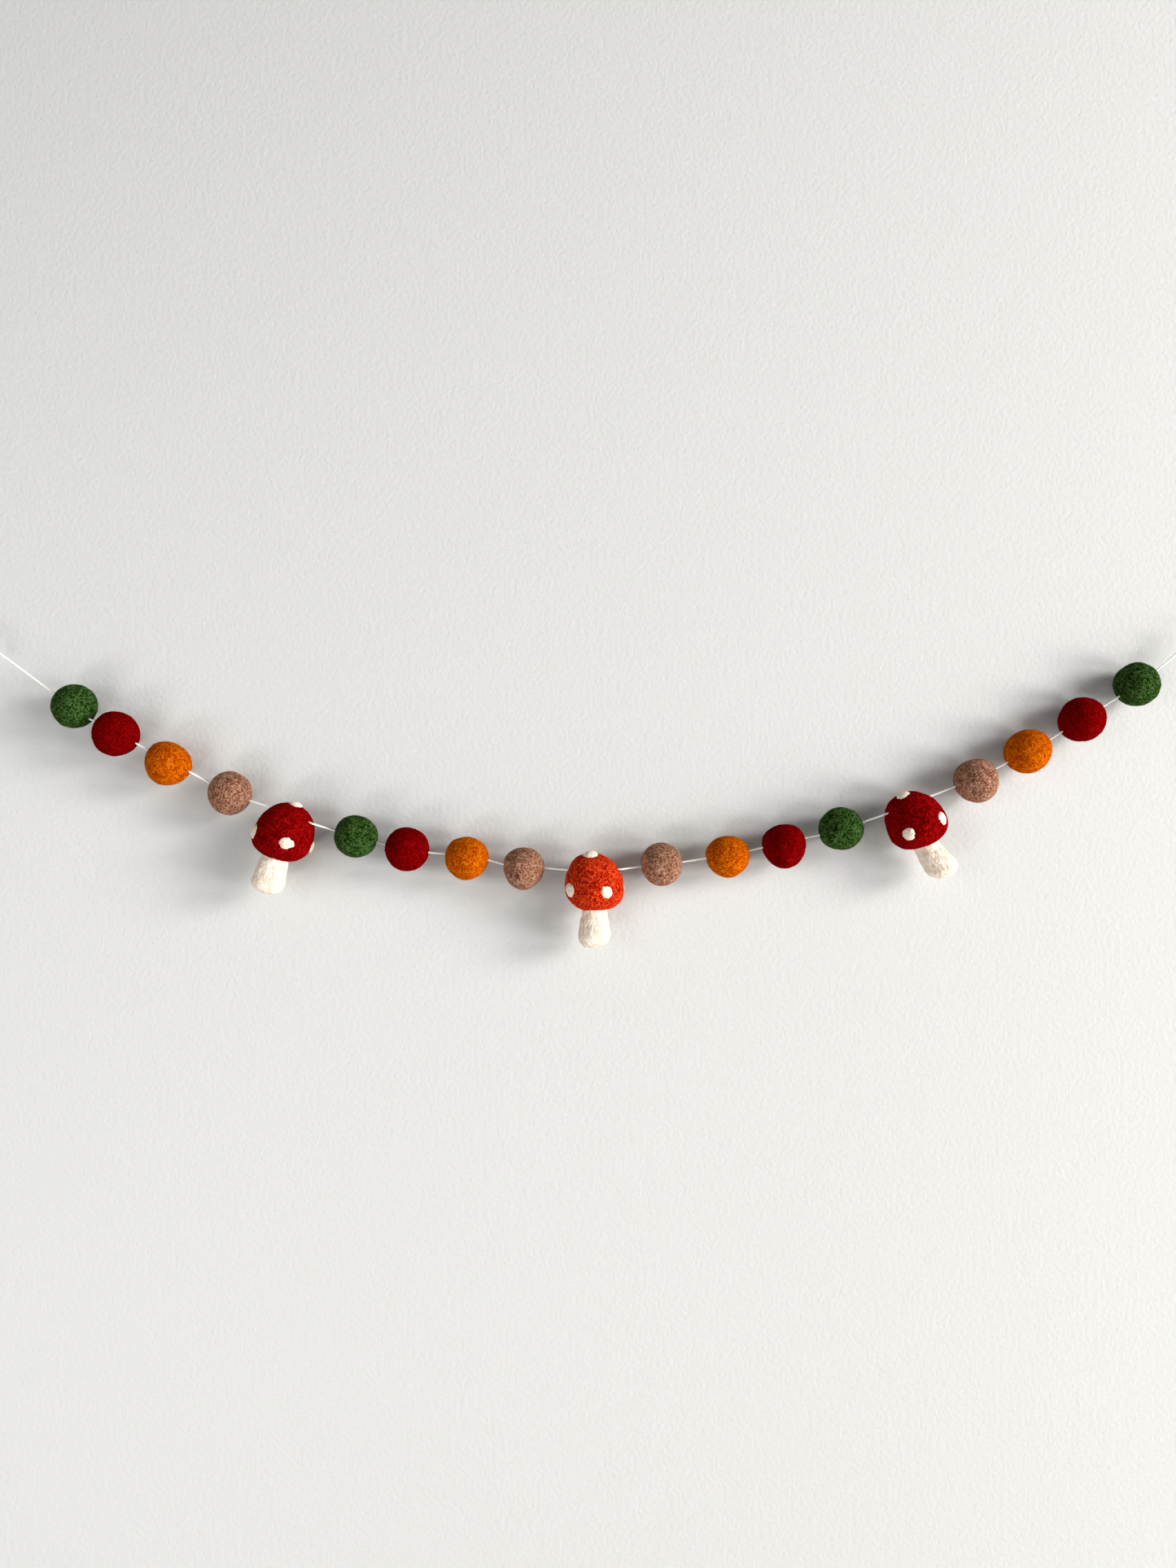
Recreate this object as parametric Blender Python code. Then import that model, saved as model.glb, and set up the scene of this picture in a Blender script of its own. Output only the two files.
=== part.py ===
"""A felt ball garland: sixteen wool felt balls and three felt toadstools threaded on one white string.

Metres, +Z up. The origin is the middle of the string's left hanging loop. The garland runs along +X
to the loop at its other end, sags along -Z, and faces -Y. The tables below are in millimetres.
"""

import math
from collections import namedtuple

import bmesh
import bpy
from mathutils import Matrix, Vector

MM = 0.001
FULL_TURN = 2 * math.pi

# The string, and the gap that every two pieces keep
STRING_RADIUS = 0.55 * MM
GAP = 0.3 * MM
BORE_RADIUS = STRING_RADIUS + GAP
STRING_POINT_STEP = 2.4 * MM
STRING_RUN_STEP = 12 * MM

# The two hanging loops: their middles, and the way the string runs from each towards the garland
LEFT_PIN = Vector((0, 0, 0))
RIGHT_PIN = Vector((721.7, 0, 0)) * MM
LEFT_RUN = Vector((0.82, 0, -0.572))
RIGHT_RUN = Vector((-0.81, 0, -0.586))

# One loop, from its cut end to where the string leaves the knot: (towards the garland, upwards) in mm
LOOP = [
    (23.2, -8.9),
    (20.2, -3.2),
    (17.2, -0.8),
    (12.6, -0.8),
    (6.0, -3.3),
    (0.0, -4.3),
    (-4.3, 0.0),
    (0.0, 4.3),
    (6.0, 3.3),
    (12.6, 0.8),
    (17.6, 0.75),
]

# The knot that closes each loop
KNOT_PLACE = 15 * MM
KNOT_LENGTH = 5.4 * MM
KNOT_WIDE_RADIUS = 2.9 * MM
KNOT_FLAT_RADIUS = 2.1 * MM
STRANDS_APART = 1.55 * MM

# Balls from left to right. x, y, z: where the string passes the middle of the ball. along: its size
# along the string. across: its height. hang: how far its middle lies under its hole.
# turn: degrees by which the right end of its hole points forward.
Ball = namedtuple("Ball", "name felt x y z along across hang turn")
BALLS = [
    Ball("ball_01", "green", 63.2, -1.0, -44.7, 25.0, 25.6, -1.1, 10),
    Ball("ball_02", "red", 88.5, -2.0, -59.2, 26.2, 26.1, 1.1, 0),
    Ball("ball_03", "mustard", 118.6, -1.0, -75.8, 26.5, 25.0, 1.8, 0),
    Ball("ball_04", "tan", 153.8, 0.0, -93.7, 25.0, 25.0, 0.8, 0),
    Ball("ball_05", "green", 227.1, -3.0, -119.2, 25.2, 24.4, 0.0, -6),
    Ball("ball_06", "red", 256.4, -1.0, -126.3, 25.6, 25.4, 0.4, 0),
    Ball("ball_07", "mustard", 290.8, 0.0, -131.3, 25.2, 24.9, 0.7, 0),
    Ball("ball_08", "tan", 323.9, 0.0, -136.5, 23.6, 24.4, 1.6, 0),
    Ball("ball_09", "tan", 403.6, 0.0, -135.5, 24.2, 24.9, 0.0, 0),
    Ball("ball_10", "mustard", 441.7, 0.0, -129.8, 25.2, 24.4, 1.4, 0),
    Ball("ball_11", "red", 474.1, -1.0, -123.0, 25.4, 25.7, 2.3, 0),
    Ball("ball_12", "green", 507.2, -2.0, -114.8, 25.7, 24.6, 0.0, 4),
    Ball("ball_13", "tan", 584.9, -1.0, -85.4, 25.3, 25.8, 2.2, 0),
    Ball("ball_14", "mustard", 616.0, 0.0, -70.0, 27.1, 25.2, 0.0, 0),
    Ball("ball_15", "red", 647.3, 0.0, -51.6, 26.9, 25.5, 0.0, 0),
    Ball("ball_16", "green", 679.0, 0.0, -31.2, 25.6, 25.0, 0.0, 0),
]
BALL_SIDES = 18
BALL_STEPS = 10

# Toadstools. x, y, z: where the string crosses the axis, thread below the cap's top. tilt: degrees by
# which the top leans right. across: the cap's width. dome, belly: its height over and under its widest
# level. square: how full the dome's shoulders are, 2 for an ellipse. skew: how far the top lies right of
# the axis. neck, foot, long: the stem's widths and length. shift: how far it lies right of the axis. lean:
# degrees by which its foot swings left.
Toadstool = namedtuple(
    "Toadstool",
    "name felt x y z tilt turn thread across dome belly square skew neck foot long shift lean",
)
TOADSTOOLS = [
    Toadstool(
        name="left", felt="dark_red", x=189.0, y=-4.5, z=-106.8, tilt=16.5, turn=14, thread=7.2,
        across=34.4, dome=21.9, belly=12.4, square=2.06, skew=1.3,
        neck=16.0, foot=18.4, long=20.1, shift=-0.8, lean=0,
    ),
    Toadstool(
        name="middle", felt="orange_red", x=364.9, y=-4.2, z=-138.3, tilt=0, turn=0, thread=9.1,
        across=33.8, dome=20.6, belly=12.4, square=2.35, skew=-1.9,
        neck=14.4, foot=18.2, long=21.0, shift=-0.2, lean=2,
    ),
    Toadstool(
        name="right", felt="dark_red", x=545.9, y=-4.5, z=-100.9, tilt=-22, turn=-10, thread=7.9,
        across=34.4, dome=21.4, belly=12.3, square=2.05, skew=-1.6,
        neck=14.6, foot=18.8, long=20.6, shift=0.4, lean=-12,
    ),
]
BELLY_SQUARE = 2.1
SKEW_POWER = 1.3
CAP_SIDES = 24
DOME_STEPS = 9
BELLY_STEPS = 6
STEM_FOOT_HEIGHT = 8.5 * MM
STEM_TOP_STEPS = 3
STEM_SIDES = 20
STEM_STEPS = 6
SAME_HEIGHT = 0.001 * MM

# White spots. from_top: arc from the cap's top to the spot's middle. around: degrees from straight
# ahead, to the right. wide and tall: its size. thick: its rise at the middle.
Spot = namedtuple("Spot", "cap from_top around wide tall thick")
SPOTS = [
    Spot("left", 2.5, 25, 8.2, 8.0, 1.2),
    Spot("left", 30.6, 23, 8.8, 7.4, 1.0),
    Spot("left", 30.0, -60, 8.4, 9.0, 1.0),
    Spot("left", 30.8, 102, 8.0, 7.4, 1.0),
    Spot("left", 30.0, 168, 8.8, 8.0, 1.0),
    Spot("left", 31.2, -128, 8.2, 8.6, 1.0),
    Spot("middle", 4.4, -8, 8.8, 9.0, 1.9),
    Spot("middle", 29.9, -57, 7.4, 8.9, 1.0),
    Spot("middle", 30.7, 24.5, 7.4, 8.0, 1.0),
    Spot("middle", 30.1, 112, 8.2, 8.6, 1.0),
    Spot("middle", 31.0, -146, 8.8, 8.0, 1.0),
    Spot("right", 4.5, -10, 8.9, 8.4, 1.4),
    Spot("right", 30.8, -35, 8.0, 7.7, 1.1),
    Spot("right", 29.9, 43.5, 7.3, 8.6, 1.0),
    Spot("right", 30.3, 128, 8.4, 8.0, 1.0),
    Spot("right", 30.9, -128, 8.6, 8.4, 1.0),
]
SPOT_SIDES = 14
SPOT_RINGS = 2
SPOT_RIM = 0.45

# Wool and cotton colours, linear red, green and blue
COLOURS = {
    "green": (0.105, 0.165, 0.055),
    "red": (0.34, 0.006, 0.010),
    "mustard": (0.66, 0.225, 0.012),
    "tan": (0.53, 0.29, 0.19),
    "orange_red": (0.70, 0.075, 0.026),
    "dark_red": (0.33, 0.005, 0.007),
    "white": (0.86, 0.80, 0.71),
    "string": (0.84, 0.80, 0.75),
}


def clear_scene():
    for old in list(bpy.data.objects):
        bpy.data.objects.remove(old, do_unlink=True)


def material(name):
    """The wool or cotton of that colour, made once."""
    if name in bpy.data.materials:
        return bpy.data.materials[name]
    made = bpy.data.materials.new(name)
    made.use_nodes = True
    shader = made.node_tree.nodes["Principled BSDF"]
    shader.inputs["Base Color"].default_value = (*COLOURS[name], 1)
    shader.inputs["Roughness"].default_value = 0.95
    shader.inputs["Metallic"].default_value = 0
    return made


def add_object(name, data, colour, place=None):
    piece = bpy.data.objects.new(name, data)
    bpy.context.collection.objects.link(piece)
    data.materials.append(material(colour))
    if place:
        piece.matrix_world = place
    return piece


def mesh_from(bm, name):
    """The finished mesh, with its faces pointing out and smooth but for real edges."""
    bmesh.ops.remove_doubles(bm, verts=bm.verts, dist=1e-6)
    bmesh.ops.recalc_face_normals(bm, faces=bm.faces)
    mesh = bpy.data.meshes.new(name)
    bm.to_mesh(mesh)
    bm.free()
    mesh.shade_smooth()
    mesh.set_sharp_from_angle(angle=math.radians(50))
    return mesh


def spun(outline, axis, sides):
    """A bmesh of the outline's points, joined in order and turned once round the axis."""
    bm = bmesh.new()
    points = [bm.verts.new(point) for point in outline]
    edges = [bm.edges.new(pair) for pair in zip(points, points[1:])]
    bmesh.ops.spin(
        bm,
        geom=points + edges,
        axis=axis,
        cent=(0, 0, 0),
        angle=FULL_TURN,
        steps=sides,
        use_merge=True,
    )
    return bm


def smooth_line(points, step):
    """Points about a step apart on one smooth curve through the given points."""
    ends = [2 * points[0] - points[1], *points, 2 * points[-1] - points[-2]]
    line = []
    for before, start, end, after in zip(ends, ends[1:], ends[2:], ends[3:]):
        pieces = max(1, round((end - start).length / step))
        leave = (end - before) * (end - start).length / (end - before).length
        arrive = (after - start) * (end - start).length / (after - start).length
        for i in range(pieces):
            t = i / pieces
            line.append(
                start * (2 * t**3 - 3 * t**2 + 1)
                + leave * (t**3 - 2 * t**2 + t)
                + end * (3 * t**2 - 2 * t**3)
                + arrive * (t**3 - t**2)
            )
    return [*line, points[-1].copy()]


def loop_route(pin, run):
    """The loop's own points round its pin, from the cut end to the string's run."""
    up = Vector((0, 1, 0)).cross(run)
    if up.z < 0:
        up = -up
    return [pin + (run * along + up * aside) * MM for along, aside in LOOP]


def passing(row):
    """Where the string passes the piece, as a point in metres."""
    return Vector((row.x, row.y, row.z)) * MM


def threaded():
    """Every piece on the string, from left to right."""
    return sorted([*BALLS, *TOADSTOOLS], key=lambda row: row.x)


def string_way(row):
    """The string's direction through a piece: its slope between the neighbours, and the piece's turn."""
    row_order = threaded()
    at = row_order.index(row)
    middles = [LEFT_PIN, *map(passing, row_order), RIGHT_PIN]
    slope = middles[at + 2] - middles[at]
    slope.y = 0
    slope.normalize()
    turn = math.radians(row.turn)
    return (slope * math.cos(turn) - Vector((0, math.sin(turn), 0))).normalized()


def straight_half(row):
    """Half the string's straight stretch inside a piece and just past its holes."""
    if isinstance(row, Ball):
        return (row.along / 2 + 0.5) * MM
    return (0.43 * row.across + 0.9) * MM


def string_points():
    """The string's line: its left loop, straight through each piece, and its right loop."""
    holes = []
    for row in threaded():
        middle, half = passing(row), string_way(row) * straight_half(row)
        holes += [middle - half, middle + half]
    left = loop_route(LEFT_PIN, LEFT_RUN.normalized())
    right = loop_route(RIGHT_PIN, RIGHT_RUN.normalized())
    left_line = smooth_line([*left, holes[0]], STRING_POINT_STEP)
    right_line = smooth_line([*right, holes[-1]], STRING_POINT_STEP)
    return thinned_run(left_line, left[-1]) + holes[1:-1] + thinned_run(right_line, right[-1])[::-1]


def thinned_run(line, knot_end):
    """The line with every point in the loop, and only a few along the run that follows it."""
    last = min(range(len(line)), key=lambda i: (line[i] - knot_end).length)
    kept = line[: last + 1]
    for point in line[last + 1 : -1]:
        if (point - kept[-1]).length >= STRING_RUN_STEP:
            kept.append(point)
    return [*kept, line[-1]]


def string():
    line = string_points()
    curve = bpy.data.curves.new("string", "CURVE")
    curve.dimensions = "3D"
    curve.bevel_depth = STRING_RADIUS
    curve.bevel_resolution = 2
    curve.use_fill_caps = True
    spline = curve.splines.new("POLY")
    spline.points.add(len(line) - 1)
    for point, place in zip(spline.points, line):
        point.co = (*place, 1)
    add_object("string", curve, "string")


def knot(name, pin, run):
    """A flattened barrel round the two strands that meet under a loop."""
    run = run.normalized()
    half = KNOT_LENGTH / 2
    steps = 8
    angles = [math.pi * i / steps for i in range(steps + 1)]
    outline = [(half * math.cos(a), 0, KNOT_WIDE_RADIUS * math.sin(a) ** 0.7) for a in angles]
    bm = spun(outline, (1, 0, 0), 16)
    bmesh.ops.scale(bm, vec=(1, KNOT_FLAT_RADIUS / KNOT_WIDE_RADIUS, 1), verts=bm.verts)
    up = Vector((0, 1, 0)).cross(run)
    place = frame_along(pin + run * KNOT_PLACE, run, up)
    barrel = add_object(name, mesh_from(bm, name), "string", place)
    cut(barrel, slot_cutter(name + "_slot", place))


def slot_cutter(name, place):
    """A bar with round edges, for the hole that two strands share."""
    bm = bmesh.new()
    for side in (-1, 1):
        ring = [FULL_TURN * i / 12 for i in range(12)]
        for end in (-KNOT_LENGTH, KNOT_LENGTH):
            for angle in ring:
                z = side * STRANDS_APART / 2 + BORE_RADIUS * math.sin(angle)
                bm.verts.new((end, BORE_RADIUS * math.cos(angle), z))
    hull = bmesh.ops.convex_hull(bm, input=bm.verts)
    bmesh.ops.delete(bm, geom=hull["geom_interior"], context="VERTS")
    return add_object(name, mesh_from(bm, name), "string", place)


def cut(piece, cutter):
    """Takes the cutter's shape out of the piece, and leaves the cutter as a hidden guide."""
    cutter.hide_render = True
    cutter.display_type = "WIRE"
    hole = piece.modifiers.new("hole", "BOOLEAN")
    hole.operation = "DIFFERENCE"
    hole.solver = "EXACT"
    hole.object = cutter


def frame_along(origin, forward, up):
    """The place of a piece whose own X axis lies along forward, with its Z axis as near to up as can be."""
    x = forward.normalized()
    z = (up - x * up.dot(x)).normalized()
    y = z.cross(x)
    axes = Matrix((x, y, z)).transposed()
    return Matrix.Translation(origin) @ axes.to_4x4()


def ball(row):
    """A ball turned round its own thread hole, then lowered so that the hole lies above its middle."""
    along, across, hang = row.along * MM, row.across * MM, row.hang * MM
    mouth = math.asin(2 * BORE_RADIUS / across)
    outline = []
    for i in range(BALL_STEPS + 1):
        angle = mouth + (math.pi - 2 * mouth) * i / BALL_STEPS
        outline.append((along / 2 * math.cos(angle), 0, across / 2 * math.sin(angle)))
    bm = spun([*outline, outline[0]], (1, 0, 0), BALL_SIDES)
    for vertex in bm.verts:
        out = math.hypot(vertex.co.y, vertex.co.z) - BORE_RADIUS
        vertex.co.z -= hang * out / (across / 2 - BORE_RADIUS)
    name = f"{row.name}_{row.felt}"
    place = frame_along(passing(row), string_way(row), Vector((0, 0, 1)))
    add_object(name, mesh_from(bm, name), row.felt, place)


def cap_line(row, dome_steps, belly_steps):
    """(radius, height) from the cap's top to the middle of its underside, the widest place at height 0."""
    radius = row.across / 2 * MM
    line = []
    for i in range(dome_steps):
        angle = math.pi / 2 * i / dome_steps
        out, up = math.sin(angle) ** (2 / row.square), math.cos(angle) ** (2 / row.square)
        line.append((radius * out, row.dome * MM * up))
    for i in range(belly_steps):
        angle = math.pi / 2 * i / belly_steps
        out, down = math.cos(angle) ** (2 / BELLY_SQUARE), math.sin(angle) ** (2 / BELLY_SQUARE)
        line.append((radius * out, -row.belly * MM * down))
    return [*line, (0, -row.belly * MM)]


def belly_height(row, out):
    """The height of the cap's underside at that distance from its axis."""
    share = 1 - (2 * out / (row.across * MM)) ** BELLY_SQUARE
    return -row.belly * MM * share ** (1 / BELLY_SQUARE)


def skewed(row, point):
    """The point of a cap moved sideways with its dome, whose top doesn't lie on the axis."""
    share = max(0, point.z) / (row.dome * MM)
    return point + Vector((row.skew * MM * share**SKEW_POWER, 0, 0))


def axis_place(row):
    """The place of a cap: its own Z axis is the toadstool's, with 0 at the widest level."""
    tilt = Matrix.Rotation(math.radians(row.tilt), 4, "Y")
    down = Matrix.Translation((0, 0, (row.thread - row.dome) * MM))
    return Matrix.Translation(passing(row)) @ tilt @ down


def cap(row):
    """The bell of a toadstool, with the string's hole across it near the top."""
    name = "cap_" + row.name
    outline = [(out, 0, height) for out, height in cap_line(row, DOME_STEPS, BELLY_STEPS)]
    bm = spun(outline, (0, 0, 1), CAP_SIDES)
    for vertex in bm.verts:
        vertex.co = skewed(row, vertex.co)
    bell = add_object(name, mesh_from(bm, name), row.felt, axis_place(row))
    drill = bmesh.new()
    bmesh.ops.create_cone(
        drill,
        cap_ends=True,
        segments=12,
        radius1=BORE_RADIUS,
        radius2=BORE_RADIUS,
        depth=2 * row.across * MM,
        matrix=Matrix.Rotation(math.pi / 2, 4, "Y"),
    )
    place = frame_along(passing(row), string_way(row), Vector((0, 0, 1)))
    cut(bell, add_object(name + "_drill", mesh_from(drill, name + "_drill"), "string", place))


def seat_height(row, out):
    """The height of the stem's hollow top at that distance from the cap's axis."""
    return belly_height(row, out) - GAP


def stem_outline(row):
    """(radius, height) from the middle of the stem's hollow top, over its edge and down to its foot."""
    neck, foot = row.neck / 2 * MM, row.foot / 2 * MM
    outline = []
    for i in range(STEM_TOP_STEPS + 1):
        out = neck * i / STEM_TOP_STEPS
        outline.append((out, seat_height(row, out)))
    top = outline[-1][1]
    base = -(row.belly + row.long) * MM
    widest = base + STEM_FOOT_HEIGHT
    for i in range(1, STEM_STEPS):
        share = i / STEM_STEPS
        swell = share * share * (3 - 2 * share)
        outline.append((neck + (foot - neck) * swell, top + (widest - top) * share))
    for i in range(STEM_STEPS):
        angle = math.pi / 2 * i / STEM_STEPS
        outline.append((foot * math.cos(angle), widest - STEM_FOOT_HEIGHT * math.sin(angle)))
    return [*outline, (0, base)]


def stem(row):
    """The stem, whose hollow top follows the underside of the cap."""
    name = "stem_" + row.name
    bm = spun([(out, 0, height) for out, height in stem_outline(row)], (0, 0, 1), STEM_SIDES)
    for vertex in bm.verts:
        on_top = abs(vertex.co.z - seat_height(row, vertex.co.xy.length)) < SAME_HEIGHT
        below = max(0, -row.belly * MM - vertex.co.z)
        vertex.co.x += row.shift * MM - below * math.tan(math.radians(row.lean))
        if on_top:
            vertex.co.z = seat_height(row, vertex.co.xy.length)
    add_object(name, mesh_from(bm, name), "white", axis_place(row))


def cap_surface(row):
    """A function that gives the point and the outward normal at an arc from the cap's top."""
    line = [Vector(pair) for pair in cap_line(row, 200, 200)]
    arcs = [0]
    for start, end in zip(line, line[1:]):
        arcs.append(arcs[-1] + (end - start).length)

    def at(arc, around):
        i = next(k for k in range(1, len(arcs)) if arcs[k] >= arc)
        out, height = line[i - 1].lerp(line[i], (arc - arcs[i - 1]) / (arcs[i] - arcs[i - 1]))
        run = (line[i] - line[i - 1]).normalized()
        ahead = Vector((math.sin(around), -math.cos(around), 0))
        return ahead * out + Vector((0, 0, height)), ahead * -run.y + Vector((0, 0, run.x))

    return at


def spot_places(spot, cap_row):
    """Rings of (point, normal, share of the way to the rim) over the place of a spot."""
    surface = cap_surface(cap_row)
    middle = surface(spot.from_top * MM, math.radians(spot.around))
    ahead = Vector((math.sin(math.radians(spot.around)), -math.cos(math.radians(spot.around)), 0))
    side = Vector((0, 0, 1)).cross(ahead)
    down = side.cross(middle[1])
    rings = []
    for ring in range(1, SPOT_RINGS + 1):
        share = ring / SPOT_RINGS
        places = []
        for i in range(SPOT_SIDES):
            angle = FULL_TURN * i / SPOT_SIDES
            uneven = 1 + 0.05 * math.sin(2 * angle + spot.around) + 0.04 * math.sin(3 * angle + spot.wide)
            aside = spot.wide / 2 * MM * share * uneven * math.sin(angle)
            below = spot.tall / 2 * MM * share * uneven * math.cos(angle)
            flat = middle[0] + side * aside + down * below
            places.append((*nearest_on_cap(surface, flat), share))
        rings.append(places)
    return (*middle, 0), rings


def nearest_on_cap(surface, point):
    """The cap's (point, normal) nearest to a point beside it, by steps along the arc."""
    around = math.atan2(point.x, -point.y)
    low, high = 0, 40 * MM
    for _ in range(40):
        third = (high - low) / 3
        near, far = surface(low + third, around), surface(high - third, around)
        if (near[0] - point).length < (far[0] - point).length:
            high -= third
        else:
            low += third
    return surface((low + high) / 2, around)


def spot_solid(name, spot, cap_row):
    """A thin felt spot that lies a gap off the cap and rises a little at its middle."""
    middle, rings = spot_places(spot, cap_row)
    bm = bmesh.new()

    def rise(share):
        return (SPOT_RIM + (spot.thick - SPOT_RIM) * (1 - share**2)) * MM

    def layer(lift):
        centre = bm.verts.new(skewed(cap_row, middle[0] + middle[1] * lift(0)))
        loops = [
            [bm.verts.new(skewed(cap_row, p + n * lift(share))) for p, n, share in ring]
            for ring in rings
        ]
        for a, b in zip(loops[0], loops[0][1:] + loops[0][:1]):
            bm.faces.new((centre, a, b))
        for inner, outer in zip(loops, loops[1:]):
            join(bm, inner, outer)
        return loops[-1]

    join(bm, layer(lambda share: GAP), layer(lambda share: GAP + rise(share)))
    add_object(name, mesh_from(bm, name), "white", axis_place(cap_row))


def join(bm, first, second):
    """A band of faces between two closed rows of as many vertices."""
    for i in range(len(first)):
        j = (i + 1) % len(first)
        bm.faces.new((first[i], first[j], second[j], second[i]))


def spots():
    for cap_row in TOADSTOOLS:
        mine = [spot for spot in SPOTS if spot.cap == cap_row.name]
        for number, spot in enumerate(mine, 1):
            spot_solid(f"spot_{cap_row.name}_{number}", spot, cap_row)


def main():
    clear_scene()
    string()
    knot("knot_left", LEFT_PIN, LEFT_RUN)
    knot("knot_right", RIGHT_PIN, RIGHT_RUN)
    for row in BALLS:
        ball(row)
    for row in TOADSTOOLS:
        cap(row)
        stem(row)
    spots()


main()
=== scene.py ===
"""The looks of a felt ball garland: matted wool with fine loose fibres, on a twisted cotton string.

Metres, +Z up. The origin is the middle of the left hanging loop, the garland runs along +X, and it is
seen from -Y. The tables below are in millimetres.
"""

import math
from collections import namedtuple

import bmesh
import bpy
import numpy as np
from mathutils import Matrix, Vector, noise

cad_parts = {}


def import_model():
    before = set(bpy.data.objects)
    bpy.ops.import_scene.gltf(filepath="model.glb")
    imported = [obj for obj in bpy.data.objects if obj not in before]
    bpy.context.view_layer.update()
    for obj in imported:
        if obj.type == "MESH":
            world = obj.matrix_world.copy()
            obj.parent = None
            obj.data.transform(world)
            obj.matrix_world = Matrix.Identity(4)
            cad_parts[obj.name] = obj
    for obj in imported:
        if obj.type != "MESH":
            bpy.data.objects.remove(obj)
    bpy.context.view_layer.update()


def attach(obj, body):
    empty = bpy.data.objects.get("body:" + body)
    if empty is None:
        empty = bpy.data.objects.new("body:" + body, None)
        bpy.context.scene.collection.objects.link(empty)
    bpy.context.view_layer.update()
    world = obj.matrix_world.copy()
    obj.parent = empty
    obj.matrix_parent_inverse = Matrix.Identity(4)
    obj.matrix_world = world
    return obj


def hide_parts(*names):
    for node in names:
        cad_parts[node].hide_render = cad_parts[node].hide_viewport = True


MM = 0.001
FULL_TURN = 2 * math.pi
TINY = 1e-12
UP = Vector((0, 0, 1))

# The camera: its place, and its focal length in pixels of the photograph
PHOTO_HEIGHT = 1927
FOCAL_PIXELS = 1450
SENSOR = 36
EYE = Vector((361, -684, -89)) * MM
NEAR_CLIP = 0.01
FAR_CLIP = 50

# The string. It runs straight inside each piece and a little past its holes: past half a ball's length,
# and past a share of a cap's width.
STRING_RADIUS = 0.58 * MM
STRING_POINT_STEP = 2.4 * MM
PAST_BALL = 0.5
CAP_STRAIGHT_SHARE = 0.43
PAST_CAP = 0.9
BORE_RADIUS = 0.85 * MM
LEFT_PIN = Vector((0, 0, 0))
RIGHT_PIN = Vector((721.7, 0, 0)) * MM
LEFT_RUN = Vector((0.82, 0, -0.572)).normalized()
RIGHT_RUN = Vector((-0.81, 0, -0.586)).normalized()
LOOP = [
    (23.2, -8.9),
    (20.2, -3.2),
    (17.2, -0.8),
    (12.6, -0.8),
    (6.0, -3.3),
    (0.0, -4.3),
    (-4.3, 0.0),
    (0.0, 4.3),
    (6.0, 3.3),
    (12.6, 0.8),
    (17.6, 0.75),
]
TWIST_PITCH = 3.2 * MM
PLIES = 3
GROOVE_DEPTH = 0.22
GROOVE_SHAPE = 0.8
STRING_SIDES = 18
STRING_RING_STEP = 0.42 * MM

# Each knot: its place under the pin, its coil's size and turns, the thickness of its string, and how far
# and over what share of the coil its ends are tucked in
KNOT_PLACE = 15 * MM
KNOT_LENGTH = 4.3 * MM
KNOT_WIDE = 2.3 * MM
KNOT_FLAT = 1.55 * MM
KNOT_TURNS = 3.5
KNOT_TURN_STEPS = 20
KNOT_STRING_RADIUS = 0.52 * MM
KNOT_STRING_SIDES = 12
KNOT_RING_STEP = 0.3 * MM
KNOT_TUCK = 0.45
KNOT_TUCK_SHARE = 0.08

# Balls from left to right. x, y, z: where the string passes the middle of the ball. along: its size
# along the string. across: its height. hang: how far its middle lies under its hole.
# turn: degrees by which the right end of its hole points forward.
Ball = namedtuple("Ball", "name felt x y z along across hang turn")
BALLS = [
    Ball("ball_01", "green", 63.2, -1.0, -44.7, 25.0, 25.6, -1.1, 10),
    Ball("ball_02", "red", 88.5, -2.0, -59.2, 26.2, 26.1, 1.1, 0),
    Ball("ball_03", "mustard", 118.6, -1.0, -75.8, 26.5, 25.0, 1.8, 0),
    Ball("ball_04", "tan", 153.8, 0.0, -93.7, 25.0, 25.0, 0.8, 0),
    Ball("ball_05", "green", 227.1, -3.0, -119.2, 25.2, 24.4, 0.0, -6),
    Ball("ball_06", "red", 256.4, -1.0, -126.3, 25.6, 25.4, 0.4, 0),
    Ball("ball_07", "mustard", 290.8, 0.0, -131.3, 25.2, 24.9, 0.7, 0),
    Ball("ball_08", "tan", 323.9, 0.0, -136.5, 23.6, 24.4, 1.6, 0),
    Ball("ball_09", "tan", 403.6, 0.0, -135.5, 24.2, 24.9, 0.0, 0),
    Ball("ball_10", "mustard", 441.7, 0.0, -129.8, 25.2, 24.4, 1.4, 0),
    Ball("ball_11", "red", 474.1, -1.0, -123.0, 25.4, 25.7, 2.3, 0),
    Ball("ball_12", "green", 507.2, -2.0, -114.8, 25.7, 24.6, 0.0, 4),
    Ball("ball_13", "tan", 584.9, -1.0, -85.4, 25.3, 25.8, 2.2, 0),
    Ball("ball_14", "mustard", 616.0, 0.0, -70.0, 27.1, 25.2, 0.0, 0),
    Ball("ball_15", "red", 647.3, 0.0, -51.6, 26.9, 25.5, 0.0, 0),
    Ball("ball_16", "green", 679.0, 0.0, -31.2, 25.6, 25.0, 0.0, 0),
]

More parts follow.
